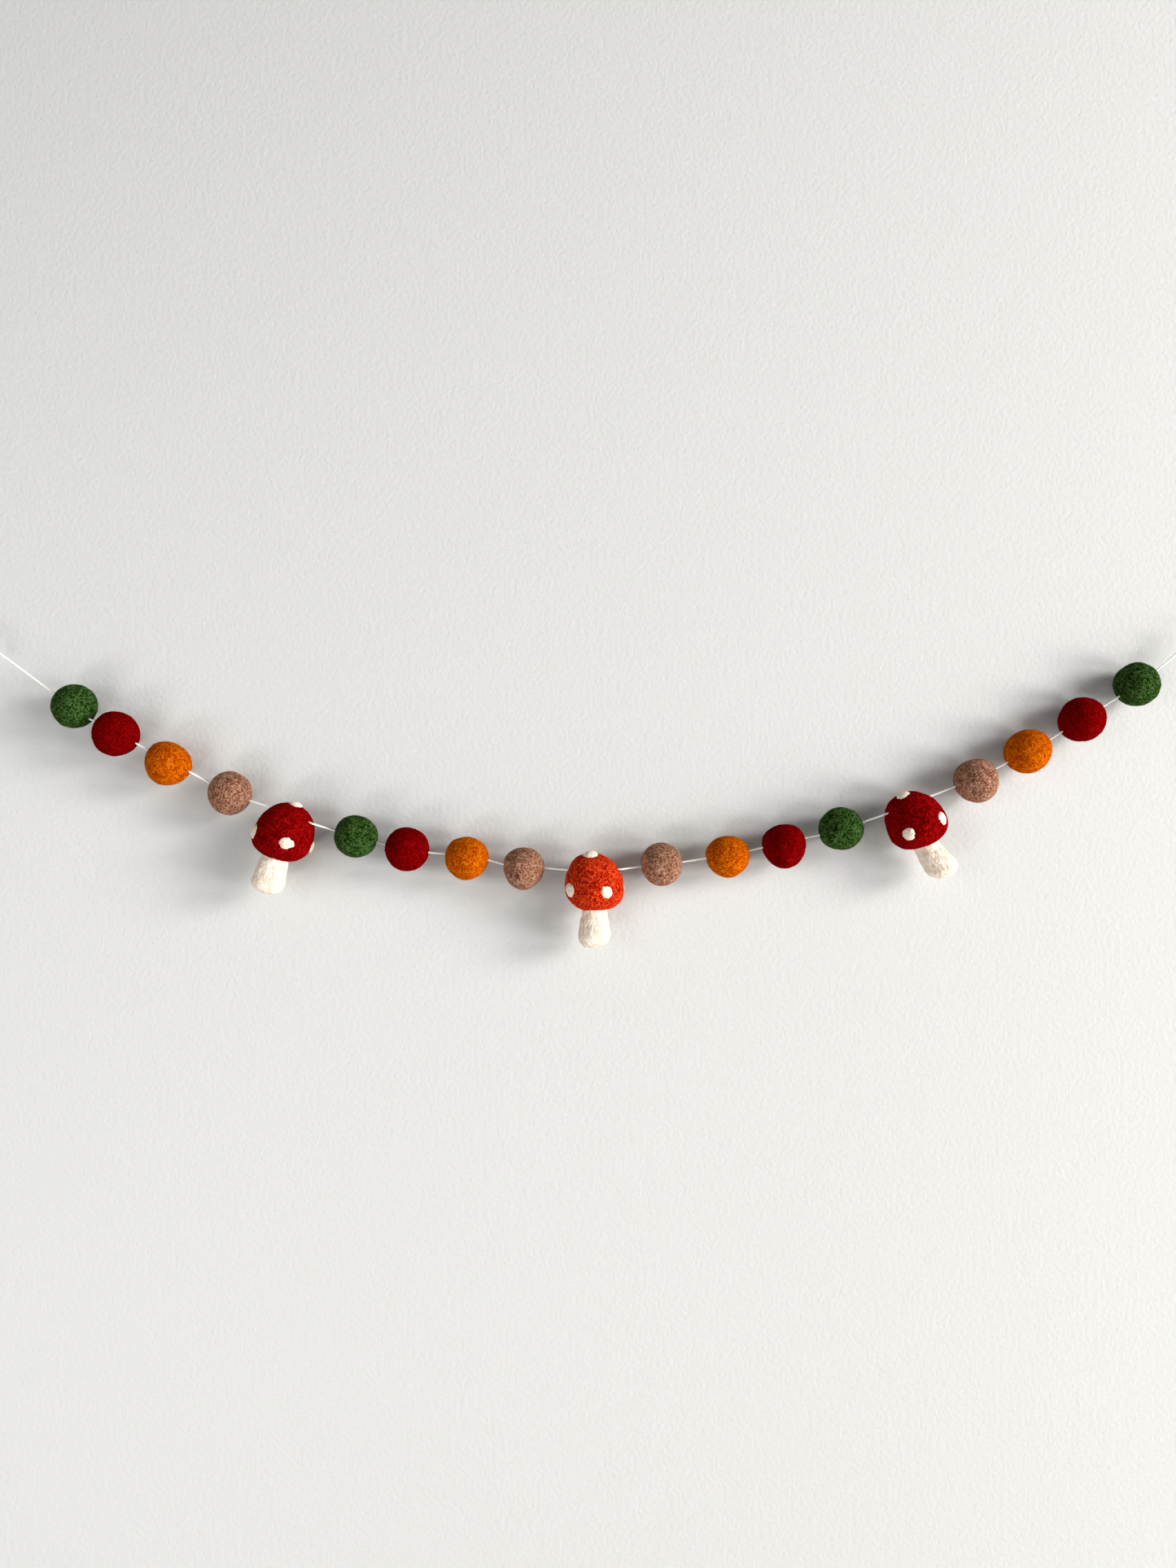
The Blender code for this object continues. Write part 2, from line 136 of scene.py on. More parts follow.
# Toadstools. x, y, z: where the string crosses the axis, thread below the cap's top. tilt: degrees by
# which the top leans right. across: the cap's width. dome, belly: its height over and under its widest
# level. square: how full the dome's shoulders are, 2 for an ellipse. skew: how far the top lies right of
# the axis. neck, foot, long: the stem's widths and length. shift: how far it lies right of the axis. lean:
# degrees by which its foot swings left.
Toadstool = namedtuple(
    "Toadstool",
    "name felt x y z tilt turn thread across dome belly square skew neck foot long shift lean",
)
TOADSTOOLS = [
    Toadstool(
        name="left", felt="dark_red", x=189.0, y=-4.5, z=-106.8, tilt=16.5, turn=14, thread=7.2,
        across=34.4, dome=21.9, belly=12.4, square=2.06, skew=1.3,
        neck=16.0, foot=18.4, long=20.1, shift=-0.8, lean=0,
    ),
    Toadstool(
        name="middle", felt="orange_red", x=364.9, y=-4.2, z=-138.3, tilt=0, turn=0, thread=9.1,
        across=33.8, dome=20.6, belly=12.4, square=2.35, skew=-1.9,
        neck=14.4, foot=18.2, long=21.0, shift=-0.2, lean=2,
    ),
    Toadstool(
        name="right", felt="dark_red", x=545.9, y=-4.5, z=-100.9, tilt=-22, turn=-10, thread=7.9,
        across=34.4, dome=21.4, belly=12.3, square=2.05, skew=-1.6,
        neck=14.6, foot=18.8, long=20.6, shift=0.4, lean=-12,
    ),
]
BELLY_SQUARE = 2.1
SKEW_POWER = 1.3
STEM_FOOT_HEIGHT = 7.6
FOOT_SQUARE = 2.35
STEM_SUNK = 4
STEM_TOP_SHARE = 0.9
OUTLINE_STEPS = 160

# White spots. from_top: arc from the cap's top to the spot's middle. around: degrees from straight
# ahead, to the right. wide and tall: its size. thick: its rise at the middle. notch: where its edge is
# nicked, in degrees from straight down, and point: where it runs out into a tip. square: how far it has
# four corners.
Spot = namedtuple("Spot", "cap from_top around wide tall thick notch point square", defaults=[0])
SPOTS = [
    Spot("left", 2.5, 25, 8.2, 8.0, 1.2, 200, 90),
    Spot("left", 30.6, 23, 8.8, 7.4, 1.0, 150, 85, 0.04),
    Spot("left", 30.0, -60, 8.4, 9.0, 1.0, 300, 20),
    Spot("left", 30.8, 102, 8.0, 7.4, 1.0, 60, 250),
    Spot("left", 30.0, 168, 8.8, 8.0, 1.0, 130, 10),
    Spot("left", 31.2, -128, 8.2, 8.6, 1.0, 220, 110),
    Spot("middle", 4.4, -8, 8.8, 9.0, 1.9, 90, 270),
    Spot("middle", 29.9, -57, 7.4, 8.9, 1.0, 250, 100),
    Spot("middle", 30.7, 24.5, 7.4, 8.0, 1.0, 120, 220),
    Spot("middle", 30.1, 112, 8.2, 8.6, 1.0, 10, 160),
    Spot("middle", 31.0, -146, 8.8, 8.0, 1.0, 330, 40),
    Spot("right", 4.5, -10, 8.9, 8.4, 1.4, 30, 200),
    Spot("right", 30.8, -35, 8.0, 7.7, 1.1, 60, 35),
    Spot("right", 29.9, 43.5, 7.3, 8.6, 1.0, 280, 160),
    Spot("right", 30.3, 128, 8.4, 8.0, 1.0, 100, 340),
    Spot("right", 30.9, -128, 8.6, 8.4, 1.0, 170, 70),
]
# How uneven a spot's edge is: (waves round it, their depth, what sets them apart on each spot)
SPOT_WAVES = [
    (2, 0.05, "around"),
    (3, 0.04, "wide"),
    (7, 0.03, "from_top"),
    (13, 0.02, "around"),
]
SPOT_NOTCH = -0.11
SPOT_NOTCH_WIDTH = 0.16
SPOT_POINT = 0.12
SPOT_POINT_WIDTH = 0.2
SPOT_SIDES = 60
SPOT_RINGS = 14
SPOT_RIM = 0.45
SPOT_PROUD = 0.15
SPOT_SUNK = 0.5
SPOT_EDGE_FALL = 5
SPOT_EDGE_ROUND = 0.6
SPOT_LUMP_FALL = 4

# Uneven wool surfaces: (distance between lumps, height of the lumps)
BALL_LUMPS = [(11, 0.42), (4.5, 0.2), (1.6, 0.09)]
CAP_LUMPS = [(10, 0.6), (4, 0.24), (1.5, 0.11)]
STEM_LUMPS = [(9, 0.8), (3.5, 0.34), (1.4, 0.12)]
SPOT_LUMPS = [(2.6, 0.2), (1.1, 0.1)]
STEM_RIBS = [(2.2, 0.22)]
STEM_RIB_STRETCH = (1, 1, 5)
EVEN = (1, 1, 1)
SEED_STEP = Vector((7.13, 3.71, 5.37))
DIMPLE_DEPTH = 0.5
DIMPLE_RADIUS = 1.4
TOADSTOOL_SEED = 40
STEM_SEED = 10
SPOT_SEED = 10
BALL_FINENESS = 5
TOADSTOOL_FINENESS = 6

# Fibres on each square millimetre of wool. Matted ones lie on the wool, and stray ones stand up from it.
# wide: their width. long: their greatest length. rise: their height over the wool. curl: how much they
# bend. points: along each one.
Fibre = namedtuple("Fibre", "per_area wide long rise curl points")
MATTED = Fibre(per_area=0.85, wide=0.28, long=3.4, rise=0.26, curl=2.6, points=6)
STRAY = Fibre(per_area=0.35, wide=0.07, long=3.4, rise=1.0, curl=1.6, points=5)
SHORT_MATTED = Fibre(per_area=0.85, wide=0.24, long=1.9, rise=0.2, curl=2.8, points=5)
SHORT_STRAY = Fibre(per_area=0.35, wide=0.06, long=2.4, rise=0.6, curl=1.8, points=5)
ROOT_SUNK = 0.05
FIBRE_SUNK = 0.1
LOOP_SHARE = 0.6
FACING_SPREAD = 0.22
WAVE_SHARE = 0.5
LIFT_POWER = 1.4
# The smallest share of a fibre's length, rise and width, and how much thinner its tip is
SHORTEST = 0.35
LOWEST = 0.2
LOW_POWER = 2
FINEST = 0.6
TIP_TAPER = 0.6
# How the wool curves under its fibres, as a radius
BALL_CURVE = 12.5
CAP_CURVE = 15
STEM_CURVE = 9

# Linear red, green and blue of the wool: painted shade in the gaps between fibres, its colour over all,
# and painted highlight where its fibres catch the light
Tones = namedtuple("Tones", "gap body thread")
WOOL = {
    "green": Tones((0.001, 0.006, 0.0004), (0.01, 0.031, 0.0028), (0.078, 0.147, 0.042)),
    "red": Tones((0.062, 0.0001, 0.0001), (0.12, 0.0002, 0.0002), (0.235, 0.002, 0.0034)),
    "mustard": Tones((0.23, 0.022, 0.0002), (0.375, 0.057, 0.0003), (0.66, 0.163, 0.0035)),
    "tan": Tones((0.068, 0.0188, 0.0075), (0.225, 0.094, 0.053), (0.52, 0.295, 0.2)),
    "orange_red": Tones((0.15, 0.001, 0.0003), (0.49, 0.02, 0.0034), (0.86, 0.082, 0.02)),
    "dark_red": Tones((0.058, 0.0001, 0.0001), (0.138, 0.0002, 0.0002), (0.31, 0.004, 0.005)),
    "white": Tones((0.63, 0.48, 0.36), (0.77, 0.64, 0.52), (0.9, 0.83, 0.74)),
}
# The string's tones: painted shade between its fibres, and painted highlight on them
COTTON = Tones((0.62, 0.58, 0.54), (0.93, 0.9, 0.87), (1.0, 0.98, 0.96))
# The tone at which each of the three colours is reached
SHADED_GAP_TONE = 0.16
BODY_TONE = 0.5
LIT_THREAD_TONE = 0.84

# Patterns in the wool and cotton: how fine they are, as noise scales for places in metres, and how much
# each one counts in the colour and in the relief
NOISE_ROUGHNESS = 0.6
WOOL_CURL = 1.8 * MM
WOOL_CURL_SCALE = 380
COARSE_SCALE = 500
COARSE_SHARPNESS = 8
FINE_SCALE = 1050
FINE_SHARPNESS = 7
PATCH_SCALE = 240
COARSE_TONE = 0.42
FINE_TONE = 0.26
PATCH_TONE = 0.42
COARSE_RELIEF = 0.65
FINE_RELIEF = 0.35
WOOL_RELIEF = 0.5
PITTED_RELIEF = 0.7
WHITE_RELIEF = 0.35
STEM_RELIEF = 0.4
WOOL_RELIEF_DEPTH = 0.9 * MM
WOOL_SHEEN = 0.35
WOOL_SHEEN_ROUGHNESS = 0.45
PIT_SCALE = 620
PIT_REACH = 0.36
PIT_SHARPNESS = 6
PIT_CHANCE = 1.6
# How much darker the pits are drawn: painted shade
PIT_PAINTED_SHADE = 0.75
PIT_RELIEF = 1.3
STEM_GRAIN = (1, 1, 0.35)
FIBRE_PATCH_SCALE = 520
FIBRE_PALEST_FROM = 0.28
FIBRE_CONTRAST = 2.1
FIBRE_TRANSLUCENCE = 0.15
COTTON_ROUGHNESS = 0.85
COTTON_CURL = 0.4 * MM
COTTON_CURL_SCALE = 1500
COTTON_SCALE = 3000
COTTON_SHARPNESS = 6
COTTON_PATCH_SCALE = 700
COTTON_LINE_TONE = 0.35
COTTON_PATCH_TONE = 0.8
COTTON_RELIEF = 0.35
COTTON_RELIEF_DEPTH = 0.15 * MM
COTTON_SHEEN = 0.5

# The stage: a pale backdrop close behind, a pale floor, and the lights. aim: the place that a light looks
# at. wide, tall: its size. spread: its widest angle in degrees. power: in watts.
BACKDROP_Y = 13.2 * MM
BACKDROP_LEFT = -2.2
BACKDROP_RIGHT = 2.9
BACKDROP_TOP = 2.2
BACKDROP_GRAIN_SCALE = 380
BACKDROP_RELIEF = 0.55
BACKDROP_RELIEF_DEPTH = 0.5 * MM
FLOOR_Z = -1.3
FLOOR_LEFT = -4
FLOOR_RIGHT = 4.7
FLOOR_NEAR = -4
FLOOR_FAR = 4
FLOOR_COLOUR = (0.8, 0.795, 0.785)
Light = namedtuple("Light", "name x y z aim_x aim_y aim_z wide tall spread power colour")
LIGHTS = [
    Light("near_window", 3.04, -1.19, 0.53, 0.36, 0, -0.09, 0.8, 0.8, 180, 77, (1, 0.99, 0.97)),
    Light("near_sill", 3.04, -1.19, -0.71, 0.36, 0, -0.09, 0.8, 0.8, 180, 24, (1, 0.99, 0.97)),
    Light("far_window", 3.0, -1.8, 1.0, 0.4, 0, -0.1, 1.2, 1.1, 180, 37, (1, 0.99, 0.97)),
    Light("far_sill", 3.0, -1.8, -0.75, 0.4, 0, -0.1, 1.2, 0.9, 180, 40, (1, 0.99, 0.97)),
    Light("floor_bounce", -0.7, -1.2, -1.1, -0.05, 0, -0.5, 1.0, 0.4, 90, 2.8, (1, 0.99, 0.97)),
    Light("room", -0.7, -1.1, -0.1, 0.05, 0, -0.1, 0.6, 0.9, 90, 1.8, (0.98, 0.99, 1)),
]
WORLD_COLOUR = (0.9, 0.94, 1.0)
WORLD_STRENGTH = 0.01
BACKDROP_COLOUR = (0.58, 0.58, 0.57)


def smooth_line(points, step):
    """Points about a step apart on one smooth curve through the given points."""
    ends = [2 * points[0] - points[1], *points, 2 * points[-1] - points[-2]]
    line = []
    for before, start, end, after in zip(ends, ends[1:], ends[2:], ends[3:]):
        pieces = max(1, round((end - start).length / step))
        leave = (end - before) * (end - start).length / (end - before).length
        arrive = (after - start) * (end - start).length / (after - start).length
        for i in range(pieces):
            t = i / pieces
            line.append(
                start * (2 * t**3 - 3 * t**2 + 1)
                + leave * (t**3 - 2 * t**2 + t)
                + end * (3 * t**2 - 2 * t**3)
                + arrive * (t**3 - t**2)
            )
    return [*line, points[-1].copy()]


def loop_route(pin, run):
    """The loop's own points round its pin, from the cut end to the string's run."""
    up = Vector((0, 1, 0)).cross(run)
    if up.z < 0:
        up = -up
    return [pin + (run * along + up * aside) * MM for along, aside in LOOP]


def passing(row):
    """Where the string passes the piece, as a point in metres."""
    return Vector((row.x, row.y, row.z)) * MM


def threaded():
    """Every piece on the string, from left to right."""
    return sorted([*BALLS, *TOADSTOOLS], key=lambda row: row.x)


def string_way(row):
    """The string's direction through a piece: its slope between the neighbours, and the piece's turn."""
    row_order = threaded()
    at = row_order.index(row)
    middles = [LEFT_PIN, *map(passing, row_order), RIGHT_PIN]
    slope = middles[at + 2] - middles[at]
    slope.y = 0
    slope.normalize()
    turn = math.radians(row.turn)
    return (slope * math.cos(turn) - Vector((0, math.sin(turn), 0))).normalized()


def straight_half(row):
    """Half the string's straight stretch inside a piece and just past its holes."""
    if isinstance(row, Ball):
        return (row.along / 2 + PAST_BALL) * MM
    return (CAP_STRAIGHT_SHARE * row.across + PAST_CAP) * MM


def string_line():
    """The string's line: its left loop, straight through each piece, and its right loop."""
    holes = []
    for row in threaded():
        middle, half = passing(row), string_way(row) * straight_half(row)
        holes += [middle - half, middle + half]
    left = smooth_line([*loop_route(LEFT_PIN, LEFT_RUN), holes[0]], STRING_POINT_STEP)
    right = smooth_line([*loop_route(RIGHT_PIN, RIGHT_RUN), holes[-1]], STRING_POINT_STEP)
    return left[:-1] + holes + right[:-1][::-1]


def frame_along(origin, forward, up):
    """The place of a piece whose own X axis lies along forward, with its Z axis as near to up as can be."""
    x = forward.normalized()
    z = (up - x * up.dot(x)).normalized()
    y = z.cross(x)
    axes = Matrix((x, y, z)).transposed()
    return Matrix.Translation(origin) @ axes.to_4x4()


def axis_place(row):
    """The place of a cap: its own Z axis is the toadstool's, with 0 at the widest level."""
    tilt = Matrix.Rotation(math.radians(row.tilt), 4, "Y")
    down = Matrix.Translation((0, 0, (row.thread - row.dome) * MM))
    return Matrix.Translation(passing(row)) @ tilt @ down


def mesh_from(name, points, faces, material):
    """A smooth mesh of those points, an array, and of faces, an array or a list."""
    mesh = bpy.data.meshes.new(name)
    mesh.from_pydata(points.tolist(), [], faces if isinstance(faces, list) else faces.tolist())
    mesh.materials.append(material)
    mesh.shade_smooth()
    return mesh


def add_piece(name, mesh, place, nodes=()):
    """A piece of the garland that rides on it and stands for those solids."""
    piece = bpy.data.objects.new(name, mesh)
    bpy.context.collection.objects.link(piece)
    piece.matrix_world = place
    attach(piece, "root")
    if nodes:
        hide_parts(*nodes)
    return piece


def sphere_grid(fineness):
    """The points and triangles of a sphere of radius 1, spread evenly."""
    bm = bmesh.new()
    bmesh.ops.create_icosphere(bm, subdivisions=fineness, radius=1)
    points = np.array([vertex.co for vertex in bm.verts])
    faces = np.array([[vertex.index for vertex in face.verts] for face in bm.faces])
    bm.free()
    return points, faces


def unit(rows):
    """The rows scaled to length 1."""
    return rows / np.maximum(np.linalg.norm(rows, axis=-1, keepdims=True), TINY)


def normals_of(points, faces):
    """The outward normal at each point."""
    corners = points[faces]
    turned = np.cross(corners[:, 1] - corners[:, 0], corners[:, 2] - corners[:, 0])
    total = np.zeros_like(points)
    for corner in range(3):
        np.add.at(total, faces[:, corner], turned)
    return unit(total)


def lumps(points, sizes, seed, stretch=EVEN):
    """Uneven heights at the points, in metres, for (distance, height) pairs in millimetres."""
    shift = SEED_STEP * seed
    scaled = points / MM / np.array(stretch)
    heights = np.zeros(len(scaled))
    for distance, height in sizes:
        places = (scaled / distance).tolist()
        heights += [noise.noise(Vector(place) + shift) * height * MM for place in places]
    return heights


def dimpled(points, normals, through, way):
    """The points drawn in where the string enters the wool."""
    away = points - np.array(through)
    away -= np.outer(away @ np.array(way), np.array(way))
    share = np.exp(-((np.linalg.norm(away, axis=1) / (DIMPLE_RADIUS * MM)) ** 2))
    return points - normals * (share * DIMPLE_DEPTH * MM)[:, None]


def shares(rng, count, least, power=1):
    """A random share for each fibre, from the least one to 1."""
    return least + (1 - least) * rng.random((count, 1)) ** power


def fibres(points, faces, seed, kind, radius):
    """Points and faces of fibres of one kind: fine ribbons that leave the wool and curl back to it."""
    rng = np.random.default_rng(seed)
    corners = points[faces]
    turned = np.cross(corners[:, 1] - corners[:, 0], corners[:, 2] - corners[:, 0])
    areas = np.linalg.norm(turned, axis=1) / 2
    count = int(areas.sum() / MM**2 * kind.per_area)
    picks = rng.choice(len(faces), count, p=areas / areas.sum())
    a, b = rng.random((2, count, 1))
    a, b = np.where(a + b > 1, 1 - a, a), np.where(a + b > 1, 1 - b, b)
    root = corners[picks, 0] * (1 - a - b) + corners[picks, 1] * a + corners[picks, 2] * b
    normal = unit(turned[picks])
    aside = unit(np.cross(normal, rng.normal(size=(count, 3))))
    ahead = np.cross(normal, aside)
    share = np.linspace(0, 1, kind.points)
    bend = rng.normal(0, kind.curl, (count, 1))
    swing = rng.normal(0, WAVE_SHARE * kind.curl, (count, 1))
    wave = swing * np.sin(FULL_TURN * (share + rng.random((count, 1))))
    heading = bend * share + wave
    step = kind.long * MM * shares(rng, count, SHORTEST) / (kind.points - 1)
    forward = np.cumsum(np.cos(heading) * step, axis=1) - step
    sideways = np.cumsum(np.sin(heading) * step, axis=1)
    height = kind.rise * MM * shares(rng, count, LOWEST, LOW_POWER)
    looped = rng.random((count, 1)) < LOOP_SHARE
    lift = np.where(looped, height * np.sin(math.pi * share), height * share**LIFT_POWER)
    lift -= FIBRE_SUNK * MM * (1 - np.sin(math.pi * share)) * looped + ROOT_SUNK * MM
    lift -= (forward**2 + sideways**2) / (2 * radius * MM)
    line = (
        root[:, None]
        + ahead[:, None] * forward[..., None]
        + aside[:, None] * sideways[..., None]
        + normal[:, None] * lift[..., None]
    )
    run = np.gradient(line, axis=1)
    facing = unit(normal[:, None] + FACING_SPREAD * rng.normal(size=(count, 1, 3)))
    flat = unit(np.cross(run, facing))
    half = (kind.wide / 2 * MM * shares(rng, count, FINEST) * (1 - TIP_TAPER * share))[..., None]
    ribbon = np.stack([line - flat * half, line + flat * half], axis=2).reshape(-1, 3)
    start = (np.arange(count)[:, None] * kind.points + np.arange(kind.points - 1)) * 2
    quads = start.reshape(-1, 1) + np.array([0, 2, 3, 1])
    return ribbon, quads


def fleece(surfaces, seed, kinds, radius):
    """Points and faces of every kind of fibre on those surfaces."""
    ribbons, quads, start = [], [], 0
    for number, (points, faces) in enumerate(surfaces):
        for kind in kinds:
            ribbon, strips = fibres(points, faces, seed + number, kind, radius)
            ribbons.append(ribbon)
            quads.append(strips + start)
            start += len(ribbon)
    return np.vstack(ribbons), np.vstack(quads)


def node(tree, kind, inputs=(), **settings):
    """A new shader node. inputs holds (socket, value or another node's output) pairs."""
    made = tree.nodes.new("ShaderNode" + kind)
    for name, value in settings.items():
        setattr(made, name, value)
    for socket, value in inputs:
        if isinstance(value, bpy.types.NodeSocket):
            tree.links.new(value, made.inputs[socket])
        else:
            made.inputs[socket].default_value = value
    return made


def maths(tree, operation, a, b=0.0, clamp=False):
    """The result of a sum on two values or outputs."""
    made = node(tree, "Math", [(0, a), (1, b)], operation=operation, use_clamp=clamp)
    return made.outputs[0]


def plain(name, colour, roughness=1.0):
    """A material with a Principled shader of one colour: (material, its tree, its shader)."""
    made = bpy.data.materials.new(name)
    made.use_nodes = True
    shader = made.node_tree.nodes["Principled BSDF"]
    shader.inputs["Base Color"].default_value = (*colour, 1)
    shader.inputs["Roughness"].default_value = roughness
    return made, made.node_tree, shader


def noise_field(tree, where, scale, detail, roughness=0.5):
    """A noise texture at those coordinates."""
    inputs = [("Vector", where), ("Scale", scale), ("Detail", detail), ("Roughness", roughness)]
    return node(tree, "TexNoise", inputs)


def threads_of(tree, where, scale, detail, sharpness):
    """Fine crooked lines, 1 on each line and 0 between them."""
    field = noise_field(tree, where, scale, detail, NOISE_ROUGHNESS).outputs["Fac"]
    off = maths(tree, "ABSOLUTE", maths(tree, "SUBTRACT", field, 0.5))
    return maths(tree, "SUBTRACT", 1.0, maths(tree, "MULTIPLY", off, sharpness), clamp=True)


def crooked(tree, where, amount, scale):
    """The coordinates pushed about, so that what is drawn on them curls like wool."""
    push = noise_field(tree, where, scale, 2.0).outputs["Color"]
    centred = node(tree, "VectorMath", [(0, push), (1, (0.5, 0.5, 0.5))], operation="SUBTRACT")
    scaled = node(tree, "VectorMath", [(0, centred.outputs[0]), ("Scale", amount)], operation="SCALE")
    return node(tree, "VectorMath", [(0, where), (1, scaled.outputs[0])], operation="ADD").outputs[0]


def mixed_tone(tree, parts):
    """The weighted sum of several patterns."""
    total = None
    for pattern, weight in parts:
        part = maths(tree, "MULTIPLY", pattern, weight)
        total = part if total is None else maths(tree, "ADD", total, part)
    return total


def shades(tree, tone, tones):
    """The colour at each tone, from painted shade in the gaps between fibres to painted highlight on lit
    fibres.
    """
    ramp = node(tree, "ValToRGB", [("Fac", tone)])
    stops = ramp.color_ramp.elements
    stops[0].position, stops[0].color = SHADED_GAP_TONE, (*tones.gap, 1)
    stops[1].position, stops[1].color = LIT_THREAD_TONE, (*tones.thread, 1)
    middle = stops.new(BODY_TONE)
    middle.color = (*tones.body, 1)
    return ramp.outputs["Color"]


def pits_of(tree, where):
    """Small round pits, up to 1 in the middle of each and 0 between them."""
    cells = node(tree, "TexVoronoi", [("Vector", where), ("Scale", PIT_SCALE), ("Randomness", 1.0)])
    inside = maths(tree, "SUBTRACT", PIT_REACH, cells.outputs["Distance"])
    near = maths(tree, "MULTIPLY", inside, PIT_SHARPNESS, clamp=True)
    picked = node(tree, "SeparateColor", [("Color", cells.outputs["Color"])]).outputs[0]
    return maths(tree, "MULTIPLY", near, maths(tree, "MULTIPLY", picked, PIT_CHANCE, clamp=True))


def add_relief(tree, shader, height, strength, depth):
    """Relief on a shader's surface, from a pattern of heights."""
    bump = node(tree, "Bump", [("Height", height), ("Strength", strength), ("Distance", depth)])
    tree.links.new(bump.outputs[0], shader.inputs["Normal"])


def wool(name, tones, relief=WOOL_RELIEF, pits=False, grain=None):
    """Felted wool: crooked fibres lying over each other, in patches, with pits where the needle went.

    Its gaps and pits carry painted shade, and its fibres painted highlight.
    """
    made, tree, shader = plain(name, tones.body)
    where = node(tree, "TexCoord").outputs["Object"]
    along = where
    if grain:
        along = node(tree, "Mapping", [("Vector", where), ("Scale", grain)]).outputs[0]
    bent = crooked(tree, along, WOOL_CURL, WOOL_CURL_SCALE)
    coarse = threads_of(tree, bent, COARSE_SCALE, 1.0, COARSE_SHARPNESS)
    fine = threads_of(tree, bent, FINE_SCALE, 1.0, FINE_SHARPNESS)
    patch = noise_field(tree, where, PATCH_SCALE, 3.0).outputs["Fac"]
    tone = mixed_tone(tree, [(coarse, COARSE_TONE), (fine, FINE_TONE), (patch, PATCH_TONE)])
    height = mixed_tone(tree, [(coarse, COARSE_RELIEF), (fine, FINE_RELIEF)])
    if pits:
        # The pits sink in the relief and are darkened with painted shade
        hole = pits_of(tree, bent)
        tone = maths(tree, "SUBTRACT", tone, maths(tree, "MULTIPLY", hole, PIT_PAINTED_SHADE))
        height = maths(tree, "SUBTRACT", height, maths(tree, "MULTIPLY", hole, PIT_RELIEF))
    tree.links.new(shades(tree, tone, tones), shader.inputs["Base Color"])
    add_relief(tree, shader, height, relief, WOOL_RELIEF_DEPTH)
    shader.inputs["Sheen Weight"].default_value = WOOL_SHEEN
    shader.inputs["Sheen Roughness"].default_value = WOOL_SHEEN_ROUGHNESS
    shader.inputs["Sheen Tint"].default_value = (*tones.thread, 1)
    shader.inputs["Specular IOR Level"].default_value = 0.0
    return made


def show_mix(tree, share, shader, other):
    """The surface shows that share of the other shader, and for the rest the first one."""
    both = node(tree, "MixShader", [(0, share), (1, shader.outputs[0]), (2, other.outputs[0])])
    tree.links.new(both.outputs[0], tree.nodes["Material Output"].inputs["Surface"])


def fibre_material(name, tones):
    """Single fibres over the wool, some paler than others, in the wool's tones from painted shade to
    painted highlight.
    """
    made, tree, shader = plain(name, tones.thread)
    where = node(tree, "TexCoord").outputs["Object"]
    patch = noise_field(tree, where, FIBRE_PATCH_SCALE, 1.0).outputs["Fac"]
    above = maths(tree, "SUBTRACT", patch, FIBRE_PALEST_FROM)
    colour = shades(tree, maths(tree, "MULTIPLY", above, FIBRE_CONTRAST, clamp=True), tones)
    tree.links.new(colour, shader.inputs["Base Color"])
    shader.inputs["Specular IOR Level"].default_value = 0.0
    through = node(tree, "BsdfTranslucent", [("Color", colour)])
    show_mix(tree, FIBRE_TRANSLUCENCE, shader, through)
    return made


def cotton(name, tones):
    """Twisted cotton: fine fibres that run along each ply, with painted shade between them."""
    made, tree, shader = plain(name, tones.body, COTTON_ROUGHNESS)
    where = node(tree, "TexCoord").outputs["Object"]
    bent = crooked(tree, where, COTTON_CURL, COTTON_CURL_SCALE)
    lines = threads_of(tree, bent, COTTON_SCALE, 2.0, COTTON_SHARPNESS)
    patch = noise_field(tree, where, COTTON_PATCH_SCALE, 3.0).outputs["Fac"]
    tone = mixed_tone(tree, [(lines, COTTON_LINE_TONE), (patch, COTTON_PATCH_TONE)])
    tree.links.new(shades(tree, tone, tones), shader.inputs["Base Color"])
    add_relief(tree, shader, lines, COTTON_RELIEF, COTTON_RELIEF_DEPTH)
    shader.inputs["Sheen Weight"].default_value = COTTON_SHEEN
    return made


def make_materials():
    """Every material of the garland, by name."""
    alike = ("green", "red", "mustard", "tan", "dark_red")
    made = {name: wool("wool_" + name, WOOL[name]) for name in alike}
    made["orange_red"] = wool("wool_orange_red", WOOL["orange_red"], relief=PITTED_RELIEF, pits=True)
    made["white"] = wool("wool_white", WOOL["white"], relief=WHITE_RELIEF)
    made["stem"] = wool("wool_stem", WOOL["white"], relief=STEM_RELIEF, grain=STEM_GRAIN)
    made["string"] = cotton("cotton_string", COTTON)
    for name, tones in WOOL.items():
        made["fibre_" + name] = fibre_material("fibre_" + name, tones)
    return made


def add_wool(name, points, faces, place, material, nodes=()):
    """A piece of felted wool at that place."""
    add_piece("wool_" + name, mesh_from(name, points, faces, material), place, nodes)


def add_fibres(name, fleece_mesh, place, material):
    """The loose fibres of one piece or of several."""
    ribbon, quads = fleece_mesh
    add_piece("fibres_" + name, mesh_from("fibres_" + name, ribbon, quads, material), place)


def ball(row, number, grid, materials):
    """A felt ball with its dimples at the string, and its loose fibres."""
    directions, faces = grid
    half = np.array((row.along, row.across, row.across)) / 2 * MM
    points = directions * half
    out = np.hypot(points[:, 1], points[:, 2])
    points[:, 2] -= row.hang * MM * np.maximum(out - BORE_RADIUS, 0) / (half[1] - BORE_RADIUS)
    normals = normals_of(points, faces)
    points = points + normals * lumps(points, BALL_LUMPS, number)[:, None]
    points = dimpled(points, normals, (0, 0, 0), (1, 0, 0))
    place = np.array(frame_along(passing(row), string_way(row), UP))
    points = points @ place[:3, :3].T + place[:3, 3]
    add_wool(row.name, points, faces, Matrix(), materials[row.felt], [f"{row.name}_{row.felt}"])
    loose = fleece([(points, faces)], number, (MATTED, STRAY), BALL_CURVE)
    add_fibres(row.name, loose, Matrix(), materials["fibre_" + row.felt])


